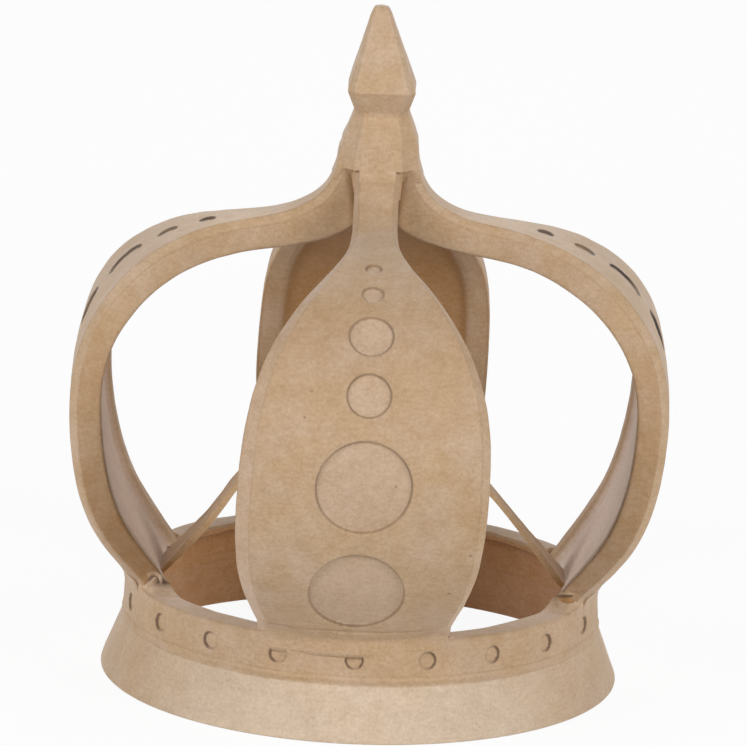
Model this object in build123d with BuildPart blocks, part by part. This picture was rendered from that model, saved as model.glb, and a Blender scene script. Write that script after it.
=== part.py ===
"""Papier-mâché crown blank: a flared rim band, four leaf-shaped arches, a spear finial and a head strap.

Millimetres, +Z up, origin at the middle of the rim's bottom edge, front at -Y.
"""

import os
from itertools import accumulate
from math import cos, radians, sin, sqrt, tan

from build123d import *

# Rim band: a thin flared moulding with an upright band and a flange turned in at the top
band_radius = 94.5
band_flare = 0.7
skirt_flare = 8.3
crease_height = 22.0
rim_height = 39.5
rim_wall = 3.2
flange_thickness = 2.8
flange_width = 10.5
rim_round = 3.0
lip_round = 1.0

# Dimples round the band
dimple_count = 20
dimple_diameter = 6.6
dimple_depth = 0.9
dimple_height = 31.4
dimple_turn = -2.0

# Arches: a closed leaf-shaped box. Climb is the height above the station below, bulge is how far the
# face stands out from the band's radius, and the radii nearer the top are measured from the crown's axis
arch_thickness = 13.0
throat_thickness = 14.5
neck_thickness = 18.5
bevel_width = 3.7
bevel_fall = 3.3
foot_setback = 0.3
foot_width = 75.0
swell_bulge = 14.0
swell_climb = 23.0
swell_width = 89.5
belly_bulge = 24.4
belly_climb = 43.5
belly_width = 95.0
flank_bulge = 20.0
flank_climb = 37.5
flank_width = 88.0
haunch_bulge = 9.3
haunch_climb = 17.5
haunch_width = 75.0
shoulder_radius = 83.3
shoulder_climb = 15.8
shoulder_width = 51.0
saddle_radius = 56.0
saddle_climb = 8.3
saddle_width = 26.5
throat_radius = 32.5
throat_climb = 5.0
throat_width = 18.0
neck_radius = 19.8
neck_climb = 9.6
neck_width = 17.6
crossing_radius = 16.2
crossing_climb = 8.8
arch_run_out = 26.0

# How far an arch's face is crowned, how much of the rim's bend its lower stations share, and the share
# of the face's crown that the inner face has
face_crown = 0.8
foot_follow = 0.85
swell_follow = 0.32
belly_follow = 0.1
inner_follow = 0.25

# Round panels sunk in each arch's face: distance of the middle up the face from the foot, and diameter
panel_depth = 1.2
lower_panel_distance = 26.8
upper_panel_distance = 73.9
large_panel = 37.0
lower_button_distance = 110.2
upper_button_distance = 134.8
middle_panel = 17.0
small_panel_distance = 155.4
small_panel = 8.4
dot_panel_distance = 172.4
dot_panel = 6.1
panels = (
    (lower_panel_distance, large_panel),
    (upper_panel_distance, large_panel),
    (lower_button_distance, middle_panel),
    (upper_button_distance, middle_panel),
    (small_panel_distance, small_panel),
    (dot_panel_distance, dot_panel),
)

# Finial: a chamfered collar over the crossing and a blunt spear
collar_overhang = 0.2
collar_chamfer = 7.0
collar_shoulder_width = 29.8
collar_shoulder_rise = 9.8
collar_top_width = 23.4
collar_height = 19.0
waist_width = 22.8
waist_length = 2.0
spear_width = 27.0
spear_chamfer = 3.1
spear_flare = 7.5
spear_edge = 2.0
spear_length = 29.5
tip_width = 7.6
tip_length = 3.6
tip_end_width = 3.0

# Head strap: a flat band between the feet of the left and right arches
strap_width = 12.5
strap_thickness = 2.4
strap_lean = 48.0
strap_bend_radius = 62.0
strap_seat = 2.2
strap_bury = 9.75
strap_offset = -2.0

crease_radius = band_radius + band_flare
skirt_radius = crease_radius + skirt_flare
opening_radius = band_radius - flange_width
foot_radius = band_radius - foot_setback

# Stations up the face of an arch: radius, climb, width, thickness and how far the face bends with the rim
arch_stations = (
    (foot_radius, 0.0, foot_width, arch_thickness, foot_follow),
    (band_radius + swell_bulge, swell_climb, swell_width, arch_thickness, swell_follow),
    (band_radius + belly_bulge, belly_climb, belly_width, arch_thickness, belly_follow),
    (band_radius + flank_bulge, flank_climb, flank_width, arch_thickness, 0.0),
    (band_radius + haunch_bulge, haunch_climb, haunch_width, arch_thickness, 0.0),
    (shoulder_radius, shoulder_climb, shoulder_width, arch_thickness, 0.0),
    (saddle_radius, saddle_climb, saddle_width, arch_thickness, 0.0),
    (throat_radius, throat_climb, throat_width, throat_thickness, 0.0),
    (neck_radius, neck_climb, neck_width, neck_thickness, 0.0),
    (crossing_radius, crossing_climb, neck_width, neck_thickness, 0.0),
)
station_rises = accumulate(station[1] for station in arch_stations)
station_heights = [rim_height + rise for rise in station_rises]
collar_base = station_heights[-1]
collar_width = 2 * (crossing_radius + collar_overhang)

# Middle line of an arch's face, from the foot on the rim to the crossing
face_points = [(station[0], height) for station, height in zip(arch_stations, station_heights)]
with BuildLine(Plane.XZ) as face_line:
    Spline(*face_points)

face_edge = face_line.edges()[0]
foot_lean = face_edge.tangent_at(0.0)
rim_bend = (foot_radius - sqrt(foot_radius**2 - (foot_width / 2) ** 2)) * foot_lean.Z


def arch_section(plane, width, thickness, crown, skin_depth):
    """Section across an arch: crowned face, two bevels, two walls and the inner face."""
    half = width / 2
    flat = half - bevel_width
    flat_drop = skin_depth + crown * (flat / half) ** 2
    wall_top = flat_drop + bevel_fall
    back = thickness + crown * inner_follow
    with BuildSketch(plane) as section:
        with BuildLine():
            ThreePointArc((-flat, flat_drop), (0, skin_depth), (flat, flat_drop))
            Line((flat, flat_drop), (half, wall_top))
            Line((half, wall_top), (half, back))
            ThreePointArc((half, back), (0, thickness), (-half, back))
            Line((-half, back), (-half, wall_top))
            Line((-half, wall_top), (-flat, flat_drop))
        make_face()
    return section.sketch


def arch_sections(skin_depth):
    """Every section of an arch, with a straight run past the foot and past the crossing."""
    points = [Vector(radius, 0, height) for radius, height in face_points]
    directions = [face_edge.tangent_at(point) for point in points]
    sections = []
    for point, direction, station in zip(points, directions, arch_stations):
        radius, climb, width, thickness, follow = station
        crown = face_crown * width / belly_width + rim_bend * follow
        shifts = [0.0]
        if station is arch_stations[0]:
            shifts = [-arch_run_out, 0.0]
        if station is arch_stations[-1]:
            shifts = [0.0, arch_run_out]
        for shift in shifts:
            plane = Plane(origin=point + direction * shift, x_dir=(0, 1, 0), z_dir=direction)
            sections.append(arch_section(plane, width, thickness, crown, skin_depth))
    return sections


# Body of the arch below the level of the sunk panels
with BuildPart() as panel_floor:
    loft(sections=arch_sections(panel_depth))

# What the sunk panels take out of the face
with BuildPart() as panel_cutter:
    for distance, diameter in panels:
        point = face_edge.position_at(distance, PositionMode.LENGTH)
        direction = face_edge.tangent_at(distance, PositionMode.LENGTH)
        outward = direction.rotate(Axis.Y, 90)
        with BuildSketch(Plane(origin=point, x_dir=(0, 1, 0), z_dir=outward)):
            Circle(diameter / 2)
        extrude(amount=arch_thickness / 2, both=True)
    add(panel_floor.part, mode=Mode.SUBTRACT)

# The right arch, trimmed flat on the rim, flat under the collar and mitred against its neighbours
with BuildPart() as right_arch:
    loft(sections=arch_sections(0.0))
    add(panel_cutter.part, mode=Mode.SUBTRACT)
    split(bisect_by=Plane.XY.offset(rim_height), keep=Keep.TOP)
    split(bisect_by=Plane.XY.offset(collar_base), keep=Keep.BOTTOM)
    split(bisect_by=Plane(origin=(0, 0, 0), z_dir=(1, -1, 0)), keep=Keep.TOP)
    split(bisect_by=Plane(origin=(0, 0, 0), z_dir=(1, 1, 0)), keep=Keep.TOP)

with BuildPart() as back_arch:
    add(right_arch.part, rotation=(0, 0, 90))

with BuildPart() as left_arch:
    add(right_arch.part, rotation=(0, 0, 180))

with BuildPart() as front_arch:
    add(right_arch.part, rotation=(0, 0, 270))

# Rim band, turned from its section, with the dimples pressed into the upright band
with BuildPart() as rim_band:
    with BuildSketch(Plane.XZ):
        with BuildLine():
            Polyline(
                (skirt_radius - rim_wall, 0),
                (skirt_radius, 0),
                (crease_radius, crease_height),
                (band_radius, rim_height),
                (opening_radius, rim_height),
                (opening_radius, rim_height - flange_thickness),
                (band_radius - rim_wall, rim_height - flange_thickness),
                (crease_radius - rim_wall, crease_height),
                close=True,
            )
        make_face()
        top_corners = vertices().group_by(Axis.Y)[-1].sort_by(Axis.X)
        fillet(top_corners[-1], rim_round)
        fillet(top_corners[0], lip_round)
    revolve(axis=Axis.Z)
    for index in range(dimple_count):
        bearing = radians(dimple_turn + index * 360 / dimple_count)
        outward = Vector(sin(bearing), -cos(bearing), 0)
        with BuildSketch(Plane(origin=outward * crease_radius + Vector(0, 0, dimple_height), z_dir=outward)):
            Circle(dimple_diameter / 2)
        extrude(amount=-dimple_depth, mode=Mode.SUBTRACT)

# Levels of the finial: (height above the collar's base, width, chamfer of the corners)
shoulder_level = collar_shoulder_rise
collar_top_level = collar_height
waist_level = collar_top_level + waist_length
spear_base_level = waist_level + spear_flare
spear_edge_level = spear_base_level + spear_edge
tip_level = spear_edge_level + spear_length
finial_levels = (
    (0.0, collar_width, collar_chamfer),
    (shoulder_level, collar_shoulder_width, collar_chamfer * collar_shoulder_width / collar_width),
    (collar_top_level, collar_top_width, spear_chamfer),
    (waist_level, waist_width, spear_chamfer),
    (spear_base_level, spear_width, spear_chamfer),
    (spear_edge_level, spear_width, spear_chamfer),
    (tip_level, tip_width, spear_chamfer * tip_width / spear_width),
    (tip_level + tip_length, tip_end_width, spear_chamfer * tip_end_width / spear_width),
)

with BuildPart() as finial:
    for level, width, corner in finial_levels:
        with BuildSketch(Plane.XY.offset(collar_base + level)):
            Rectangle(width, width)
            chamfer(vertices(), corner)
    loft(ruled=True)

# Head strap: two straight legs and a round bend, its ends cut to the inner faces of the arches' feet
strap_reach = foot_radius - strap_bury / foot_lean.Z
strap_foot = rim_height + strap_seat
strap_peak = strap_foot + strap_reach * tan(radians(strap_lean))

with BuildPart() as head_strap:
    with BuildSketch(Plane.XZ):
        with BuildLine():
            FilletPolyline(
                (-strap_reach, strap_foot),
                (strap_offset, strap_peak),
                (strap_reach, strap_foot),
                radius=strap_bend_radius,
            )
        trace(line_width=strap_thickness)
    extrude(amount=strap_width / 2, both=True)
    add(left_arch.part, mode=Mode.SUBTRACT)
    add(right_arch.part, mode=Mode.SUBTRACT)

os.makedirs("parts", exist_ok=True)
pieces = {
    "rim_band": rim_band,
    "front_arch": front_arch,
    "back_arch": back_arch,
    "left_arch": left_arch,
    "right_arch": right_arch,
    "finial": finial,
    "head_strap": head_strap,
}
for name, piece in pieces.items():
    piece.part.label = name
    export_step(piece.part, f"parts/{name}.step")
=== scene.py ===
"""Papier-mâché crown blank in bare kraft paper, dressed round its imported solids.

Lengths are millimetres, in the frame's own axes: +Z up, front at -Y. A finished mesh is put in metres.
"""

import bpy
import numpy as np
from mathutils import Matrix, Vector


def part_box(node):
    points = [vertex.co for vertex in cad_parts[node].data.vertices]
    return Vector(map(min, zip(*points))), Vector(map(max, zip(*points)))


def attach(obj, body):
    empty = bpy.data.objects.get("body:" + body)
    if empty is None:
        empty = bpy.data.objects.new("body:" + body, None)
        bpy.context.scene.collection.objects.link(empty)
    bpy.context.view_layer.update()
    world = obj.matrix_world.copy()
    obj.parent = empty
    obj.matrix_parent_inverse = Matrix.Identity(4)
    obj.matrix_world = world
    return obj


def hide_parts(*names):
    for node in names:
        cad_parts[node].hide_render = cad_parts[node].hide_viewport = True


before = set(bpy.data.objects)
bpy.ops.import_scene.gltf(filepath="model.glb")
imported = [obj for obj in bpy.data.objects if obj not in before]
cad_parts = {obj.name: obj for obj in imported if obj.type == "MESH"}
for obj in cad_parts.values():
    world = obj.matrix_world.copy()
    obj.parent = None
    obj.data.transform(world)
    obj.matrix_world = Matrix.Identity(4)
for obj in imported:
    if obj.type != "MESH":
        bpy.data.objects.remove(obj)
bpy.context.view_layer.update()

# Rim band: the ring that sits on the head, a thin moulding of pasted kraft paper with a flared skirt,
# an upright band and a flange turned in at the top. Round dimples were pressed into the band while
# the paper was wet, and the strip that holds the front arch is pasted over some of them.

METRE = 1000.0


def millimetres(node):
    """Lowest and highest corner of a solid, in millimetres."""
    low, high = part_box(node)
    return METRE * np.array(low), METRE * np.array(high)


def smooth_step(value):
    """0 below 0 and 1 above 1, with the cubic 3t^2 - 2t^3 between."""
    share = np.clip(value, 0.0, 1.0)
    return share * share * (3.0 - 2.0 * share)


def bump(distance, reach):
    """A bell: 1 at distance 0, falling as the Gaussian whose deviation is the reach."""
    return np.exp(-0.5 * (distance / reach) ** 2)


def unit(vectors):
    """Each vector over its own length."""
    return vectors / np.maximum(np.linalg.norm(vectors, axis=-1, keepdims=True), 1e-9)


def vectors_of(first, second, third):
    """One vector a point from its three parts, each spread over the same grid."""
    return np.stack(np.broadcast_arrays(first, second, third), axis=-1)


def unevenness(points, length, height, seed, count=14):
    """Lumps of hand-laid paper: a sum of plane waves about one length long, with drawn directions."""
    draw = np.random.default_rng(seed)
    directions = unit(draw.normal(size=(count, 3)))
    lengths = length * draw.uniform(0.7, 1.5, size=count)
    phases = draw.uniform(0.0, 2.0 * np.pi, size=count)
    waves = np.sin(points @ (directions * (2.0 * np.pi / lengths)[:, None]).T + phases)
    return height * waves.sum(axis=-1) / np.sqrt(count)


def raised(points, heights, ring=False):
    """A grid of points moved out by the heights. Its columns close on themselves, and for a ring its rows
    do too. A point's normal is the step along the columns cross the step along the rows."""
    across = np.roll(points, -1, axis=1) - np.roll(points, 1, axis=1)
    along = np.gradient(points, axis=0)
    if ring:
        along = np.roll(points, -1, axis=0) - np.roll(points, 1, axis=0)
    return points + unit(np.cross(across, along)) * heights[..., None]


def grid_piece(name, points, places, finish, node=None, ring=False, hub=None):
    """A closed surface from a grid of points: each cell is one quad, the columns close on themselves,
    and the rows either close too, for a ring, or are capped by fans at both ends. A fan spreads from the
    mean of its end's points, or at the first end from the hub. Places, one vector a point, go with the
    mesh as an attribute that its finish reads. The piece stands in for a node's solid where one is given."""
    rows, columns = points.shape[:2]
    index = np.arange(rows * columns).reshape(rows, columns)
    lower = index if ring else index[:-1]
    upper = np.roll(index, -1, axis=0) if ring else index[1:]
    quads = np.stack([lower, np.roll(lower, -1, 1), np.roll(upper, -1, 1), upper], axis=-1)
    faces = quads.reshape(-1, 4).tolist()
    vertices = points.reshape(-1, 3)
    spots = places.reshape(-1, 3)
    if not ring:
        first_middle = points[0].mean(axis=0) if hub is None else hub
        middles = np.stack([first_middle, points[-1].mean(axis=0)])
        middle_spots = np.stack([places[0].mean(axis=0), places[-1].mean(axis=0)])
        first = np.full(columns, rows * columns)
        faces += np.stack([first, np.roll(index[0], -1), index[0]], axis=-1).tolist()
        faces += np.stack([first + 1, index[-1], np.roll(index[-1], -1)], axis=-1).tolist()
        vertices = np.concatenate([vertices, middles])
        spots = np.concatenate([spots, middle_spots])
    mesh = bpy.data.meshes.new(name)
    mesh.from_pydata((vertices / METRE).tolist(), [], faces)
    place = mesh.attributes.new("place", "FLOAT_VECTOR", "POINT")
    place.data.foreach_set("vector", spots.astype(np.float32).ravel())
    mesh.shade_smooth()
    mesh.materials.append(finish)
    piece = bpy.data.objects.new(name, mesh)
    bpy.context.scene.collection.objects.link(piece)
    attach(piece, "root")
    if node:
        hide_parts(node)


class Shade:
    """One socket of a finish. Sums on it add Math nodes, and node() adds any other node."""

    def __init__(self, tree, socket=None):
        self.tree = tree
        self.socket = socket

    def node(self, kind, settings, sockets, output=0):
        """Adds a node, sets its settings first and then its sockets' values or links."""
        made = self.tree.nodes.new(kind)
        for key, setting in settings.items():
            setattr(made, key, setting)
        for key, value in sockets.items():
            if isinstance(value, Shade):
                self.tree.links.new(value.socket, made.inputs[key])
            else:
                made.inputs[key].default_value = value
        return Shade(self.tree, made.outputs[output] if made.outputs else None)

    def math(self, operation, first, second=0.0, clamp=False):
        settings = {"operation": operation, "use_clamp": clamp}
        return self.node("ShaderNodeMath", settings, {0: first, 1: second})

    def __add__(self, other):
        return self.math("ADD", self, other)

    def __radd__(self, other):
        return self.math("ADD", other, self)

    def __sub__(self, other):
        return self.math("SUBTRACT", self, other)

    def __rsub__(self, other):
        return self.math("SUBTRACT", other, self)

    def __mul__(self, other):
        return self.math("MULTIPLY", self, other)

    def __rmul__(self, other):
        return self.math("MULTIPLY", other, self)

    def __truediv__(self, other):
        return self.math("DIVIDE", self, other)

    def __rtruediv__(self, other):
        return self.math("DIVIDE", other, self)

    def __abs__(self):
        return self.math("ABSOLUTE", self)

    def clamped(self):
        return self.math("ADD", self, 0.0, clamp=True)

    def larger(self, other):
        return self.math("MAXIMUM", self, other)

    def smaller(self, other):
        return self.math("MINIMUM", self, other)

    def ramp(self, low, high):
        """Smooth step from 0 at low to 1 at high."""
        settings = {"interpolation_type": "SMOOTHSTEP"}
        return self.node("ShaderNodeMapRange", settings, {0: self, 1: low, 2: high})

    def line(self, middle, half_width, softness):
        """1 along a line where the value is at the middle, 0 away from it."""
        return 1.0 - abs(self - middle).ramp(half_width, half_width + softness)

    def parts(self):
        """X, Y and Z of a vector."""
        split = self.node("ShaderNodeSeparateXYZ", {}, {0: self})
        outputs = split.socket.node.outputs
        return [Shade(self.tree, output) for output in outputs]

    def scaled(self, factors):
        return self.node("ShaderNodeVectorMath", {"operation": "MULTIPLY"}, {0: self, 1: factors})

    def noise(self, size, detail=2.0, roughness=0.5, stretch=(1.0, 1.0, 1.0), seed=0.0):
        """Noise about 0, from -0.5 to 0.5, with lumps of one size in millimetres."""
        place = self.scaled([factor / size for factor in stretch])
        sockets = {"Vector": place, "W": seed, "Scale": 1.0, "Detail": detail, "Roughness": roughness}
        return self.node("ShaderNodeTexNoise", {"noise_dimensions": "4D"}, sockets) - 0.5

    def patches(self, size, contrast, base, seed, detail=1.0):
        """Patches about one size in millimetres: noise times a contrast about a base, held from 0 to 1."""
        return (self.point().noise(size, detail=detail, seed=seed) * contrast + base).clamped()

    def place(self):
        """The three parts of where a point is on its piece, as its mesh carries them."""
        return self.node("ShaderNodeAttribute", {"attribute_name": "place"}, {}, output=1).parts()

    def point(self):
        """A point of the crown, in millimetres."""
        return self.node("ShaderNodeTexCoord", {}, {}, output=3).scaled((METRE, METRE, METRE))

    def length(self, first, second):
        """Length of the vector with these two parts."""
        return self.math("SQRT", first * first + second * second)

    def tinted(self, ground, tone, share):
        """Lays a tone over a ground colour by a share."""
        sockets = {0: share, 6: ground, 7: tone}
        return self.node("ShaderNodeMix", {"data_type": "RGBA"}, sockets, output=2)


KRAFT = (0.490, 0.325, 0.182, 1.0)
# Dark brown for creases, seams, sheet edges and the browned top of the front arch, and for painted shade
# along the arches' inner arrises and round the finial's waist and ring
KRAFT_SEAM_AND_SHADE = (0.270, 0.150, 0.070, 1.0)
KRAFT_PINK = (0.530, 0.372, 0.252, 1.0)
# Pale kraft for the painted highlights on the skirt and along the finial's arrises
KRAFT_PALE_HIGHLIGHT = (0.660, 0.535, 0.405, 1.0)
# Dark brown for the painted shade on the rim's inner wall
KRAFT_RIM_SHADE = (0.440, 0.215, 0.082, 1.0)
KRAFT_TEA = (0.600, 0.320, 0.130, 1.0)
# Near black for knocks on the front arch, and for painted shade round the dimples and panels, in fold hollows
# and under the pocket's lip
KNOCK_AND_SHADE_DARK = (0.120, 0.062, 0.028, 1.0)


def kraft_paper(name, tones=()):
    """Bare kraft paper: a buff ground with slow pink mottling, matt, its brightness broken by fibres and
    specks, with the grain and the creases of dried paste as bump. Tones are pairs of a colour and a
    function that gives its share over the surface from the finish, laid over the ground in order."""
    material = bpy.data.materials.new(name)
    material.use_nodes = True
    tree = material.node_tree
    tree.nodes.clear()
    finish = Shade(tree)
    point = finish.point()
    mottle = point.noise(26.0, detail=2.0, seed=1.0)
    cloud = point.noise(7.0, detail=2.0, seed=2.0)
    grain = point.noise(1.2, detail=3.0, roughness=0.65, seed=3.0)
    fibre = point.noise(1.8, detail=2.0, stretch=(0.6, 0.6, 1.4), seed=4.0)
    crease = abs(point.noise(30.0, detail=1.0, seed=5.0)).ramp(0.0, 0.012)
    pale_flecks = point.noise(1.7, detail=1.0, seed=6.0).ramp(0.22, 0.33)
    dark_flecks = point.noise(1.5, detail=1.0, seed=7.0).ramp(0.25, 0.34)
    shade = grain * 0.47 + fibre * 0.26 + cloud * 0.24 + mottle * 0.18
    shade = shade + pale_flecks * 0.10 - dark_flecks * 0.14
    pink = point.noise(17.0, detail=2.0, seed=9.0).ramp(-0.15, 0.25)
    colour = finish.tinted(KRAFT, KRAFT_PINK, pink * 0.8)
    for tone, share in tones:
        colour = finish.tinted(colour, tone, share(finish))
    value = {"Saturation": 1.0 - shade * 0.7, "Value": 1.0 + shade, "Color": colour}
    colour = finish.node("ShaderNodeHueSaturation", {}, value)
    height = grain * 0.5 + fibre * 0.3 + cloud * 0.8 + crease * 0.16
    relief = finish.node("ShaderNodeBump", {}, {"Strength": 0.45, "Distance": 0.0006, "Height": height})
    paper = {
        "Base Color": colour,
        "Roughness": 0.72 + grain * 0.16,
        "Normal": relief,
        "Specular IOR Level": 0.5,
        "Sheen Weight": 0.3,
        "Sheen Roughness": 0.5,
    }
    surface = finish.node("ShaderNodeBsdfPrincipled", {}, paper)
    finish.node("ShaderNodeOutputMaterial", {}, {0: surface})
    return material


rim_corner = millimetres("rim_band")[1]
rim_height = rim_corner[2]
skirt_radius = rim_corner[0]
skirt_flare = 8.3
crease_radius = skirt_radius - skirt_flare
crease_height = 22.0
band_flare = 0.7
band_radius = crease_radius - band_flare
flange_width = 10.5
opening_radius = band_radius - flange_width
rim_wall = 3.2
flange_thickness = 2.8
dimple_count = 20
dimple_radius = 3.3
dimple_depth = 1.0
dimple_wall = 0.6
dimple_height = 31.4
dimple_turn = np.radians(-2.0)
front_drift = np.radians(1.1)
front_drift_reach = 0.35
right_drift = np.radians(1.3)
right_drift_reach = 0.3
right_drift_bearing = 0.95
bead_height = 0.5
bead_reach = 0.9
bead_level = crease_height + 1.3
even_foot = 3.0


def rounded_outline(corners, rounds, spacings, steps):
    """A closed outline: straight runs between corners, each corner turned by a quadratic curve that
    starts and ends its round before and after it. The run after a corner is divided to its spacing."""
    corners = np.array(corners)
    before = unit(np.roll(corners, 1, axis=0) - corners)
    after = unit(np.roll(corners, -1, axis=0) - corners)
    rounds = np.array(rounds)[:, None]
    starts = corners + before * rounds
    ends = corners + after * rounds
    next_starts = np.roll(starts, -1, axis=0)
    turn = np.linspace(0.0, 1.0, steps)[:, None]
    pieces = []
    for start, corner, end, following, spacing in zip(starts, corners, ends, next_starts, spacings):
        pieces.append((1 - turn) ** 2 * start + 2 * turn * (1 - turn) * corner + turn**2 * end)
        count = max(int(np.linalg.norm(following - end) / spacing), 1)
        run = np.linspace(0.0, 1.0, count + 1)[1:-1, None]
        pieces.append(end + (following - end) * run)
    return np.concatenate(pieces)


# Corners of the rim's section, with each one's round and the spacing of points up to the next corner
rim_section = [
    ((opening_radius, rim_height - flange_thickness), 0.5, 1.0),
    ((opening_radius, rim_height), 0.8, 1.5),
    ((band_radius, rim_height), 1.7, 0.55),
    ((crease_radius, crease_height), 0.8, 1.1),
    ((skirt_radius, 0.0), 0.9, 1.2),
    ((skirt_radius - rim_wall, 0.0), 0.7, 2.2),
    ((crease_radius - rim_wall, crease_height), 0.8, 2.2),
    ((band_radius - rim_wall, rim_height - flange_thickness), 0.6, 2.0),
]
rim_outline = rounded_outline(*zip(*rim_section), steps=5)
rim_bearings = np.linspace(0.0, 2.0 * np.pi, 680, endpoint=False)


def round_the_rim(outline, bearings):
    """Turns an outline of radius and height about the crown's axis. A bearing is 0 at the front and
    grows towards the right."""
    radius = outline[None, :, 0]
    across = radius * np.sin(bearings)[:, None]
    ahead = -radius * np.cos(bearings)[:, None]
    return vectors_of(across, ahead, outline[None, :, 1])


rim_points = round_the_rim(rim_outline, rim_bearings)
rim_radius = rim_outline[None, :, 0]
rim_level = rim_outline[None, :, 1]
signed_bearing = (rim_bearings + np.pi) % (2.0 * np.pi) - np.pi

# The dimples were set out by eye: they drift to the right in front, and to the left halfway to the right arch
drift = front_drift * bump(signed_bearing, front_drift_reach)
drift = drift - right_drift * bump(signed_bearing - right_drift_bearing, right_drift_reach)
dimple_step = 2.0 * np.pi / dimple_count
dimple_places = signed_bearing - drift - dimple_turn + dimple_step / 2
from_nearest = (dimple_places % dimple_step - dimple_step / 2)[:, None] * rim_radius
from_dimple = np.hypot(from_nearest, rim_level - dimple_height)
on_band = (rim_radius > band_radius - 0.5) & (rim_level > crease_height)
dimples = dimple_depth * smooth_step((dimple_radius - from_dimple) / dimple_wall + 0.5) * on_band

# A low bead runs round the crease, where the band's paper laps over the skirt's
outside = rim_radius > crease_radius - 1.0
bead = bead_height * bump(rim_level - bead_level, bead_reach) * outside
rim_lumps = unevenness(rim_points, 34.0, 0.26, seed=11) + unevenness(rim_points, 11.0, 0.07, seed=12)
rim_lumps *= smooth_step(rim_points[..., 2] / even_foot)
rim_points = raised(rim_points, rim_lumps + bead - dimples, ring=True)
outer_side = np.clip(from_nearest * np.sign(signed_bearing)[:, None] / dimple_radius, -1.0, 1.0)
rim_places = vectors_of(np.abs(from_nearest), rim_level, outer_side)


def rim_radius_of(finish):
    """Distance from the crown's axis, less the skirt's flare."""
    across, ahead, above = finish.point().parts()
    flare = (crease_height - above).larger(0.0) * (skirt_flare / crease_height)
    return finish.length(across, ahead) - flare


def rim_outside(finish):
    """1 on the rim's outer side, 0 on its inner one."""
    return rim_radius_of(finish).ramp(band_radius - 1.6, band_radius - 0.8)


def dimple_shade_lines(finish):
    """Painted shade: a dark line round each dimple, strongest on the side that is turned from the front."""
    beside, height, outer = finish.place()
    away = finish.length(beside, height - dimple_height)
    strength = 0.28 + outer.ramp(-0.2, 0.7) * 0.6
    return away.line(dimple_radius, 0.22, 0.45) * rim_outside(finish) * strength


def rim_inside_shade(finish):
    """Painted shade on the rim's inner wall, which makes it dark brown."""
    beside, height, outer = finish.place()
    inner_wall = band_radius - rim_wall
    within = rim_radius_of(finish).ramp(inner_wall + 2.0, inner_wall + 1.2)
    under_top = height.ramp(rim_height - 0.7, rim_height - 1.7)
    return within * under_top * 0.9


def rim_inside_left(finish):
    """A lighter, more orange tone over the left half of the inner wall's painted shade."""
    across, ahead, above = finish.point().parts()
    return rim_inside_shade(finish) * across.ramp(10.0, -40.0) * 0.65


def crease_lines(finish):
    """Thin lines above and below the bead, in patches, on both sides of the wall."""
    beside, height, outer = finish.place()
    above = height.line(crease_height + 3.0, 0.15, 0.5)
    below = height.line(crease_height - 0.5, 0.15, 0.5)
    patchy = finish.patches(22.0, 2.2, 0.6, seed=12.0)
    return (above + below).clamped() * patchy * 0.3


def skirt_painted_highlight(finish):
    """Painted highlight on the skirt, which makes it paler than the band and palest in front."""
    across, ahead, above = finish.point().parts()
    front = (ahead * -1.0 / skirt_radius).ramp(0.45, 0.9)
    on_skirt = above.ramp(crease_height + 0.5, crease_height - 1.5)
    return on_skirt * rim_outside(finish) * (0.18 + front * 0.5)


rim_tones = [
    (KRAFT_PALE_HIGHLIGHT, skirt_painted_highlight),
    (KRAFT_RIM_SHADE, rim_inside_shade),
    (KRAFT_TEA, rim_inside_left),
    (KRAFT_SEAM_AND_SHADE, crease_lines),
    (KNOCK_AND_SHADE_DARK, dimple_shade_lines),
]
rim_paper = kraft_paper("kraft_rim_paper", rim_tones)
grid_piece("rim", rim_points, rim_places, rim_paper, node="rim_band", ring=True)

# Arches: four leaf-shaped boxes of pasted paper, standing on the rim and curving in to the crossing.
# Each has six round panels sunk in its face, a bevel along both edges, and an inner face that is set in
# behind a sloping border. Their feet are pasted to the rim's flange.

# Rose for painted light on the front arch's left bevel and painted sheen on the left arch's inner face
KRAFT_ROSE_LIGHT = (0.620, 0.455, 0.350, 1.0)
# Pale blush for painted sheen on the right arch's inner face
KRAFT_BLUSH_SHEEN = (0.730, 0.580, 0.480, 1.0)
# Dark brown for painted shade on the arches' walls and front and back inner faces, the left arch's foot, the
# pocket's floor and the strap's ends
KRAFT_SHADE = (0.350, 0.180, 0.060, 1.0)
# Near black for the painted shade in the left and right arches' sunk panels, seen edge on as slits
SLIT_SHADE = (0.030, 0.016, 0.010, 1.0)

crossing_height = millimetres("right_arch")[1][2]
arch_thickness = 13.0
throat_thickness = 14.5
neck_thickness = 18.5
neck_width = 17.6
bevel_width = 3.7
bevel_fall = 3.3
arris = 0.7
inner_arris = 1.3
inner_border = 6.0
inner_slope = 4.0
inner_set_in = 2.4
inner_follow = 0.25
foot_width = 75.0
foot_setback = 0.3
foot_radius = band_radius - foot_setback
foot_slope = 0.86
foot_bend = foot_slope * (foot_radius - np.sqrt(foot_radius**2 - (foot_width / 2) ** 2))

# Stations up the face: radius, height above the rim, width, how far the face falls to its edges, thickness
arch_stations = np.array(
    [
        (foot_radius, 0.0, foot_width, 0.63 + 0.85 * foot_bend, arch_thickness),
        (band_radius + 14.0, 23.0, 89.5, 0.75 + 0.32 * foot_bend, arch_thickness),
        (band_radius + 24.4, 66.5, 95.0, 0.80 + 0.10 * foot_bend, arch_thickness),
        (band_radius + 20.0, 104.0, 88.0, 0.74, arch_thickness),
        (band_radius + 9.3, 121.5, 75.0, 0.63, arch_thickness),
        (83.3, 137.3, 51.0, 0.43, arch_thickness),
        (56.0, 145.6, 26.5, 0.22, arch_thickness),
        (32.5, 150.6, 18.0, 0.15, throat_thickness),
        (19.8, 160.2, neck_width, 0.15, neck_thickness),
        (16.2, 169.0, neck_width, 0.15, neck_thickness),
    ]
)

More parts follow.
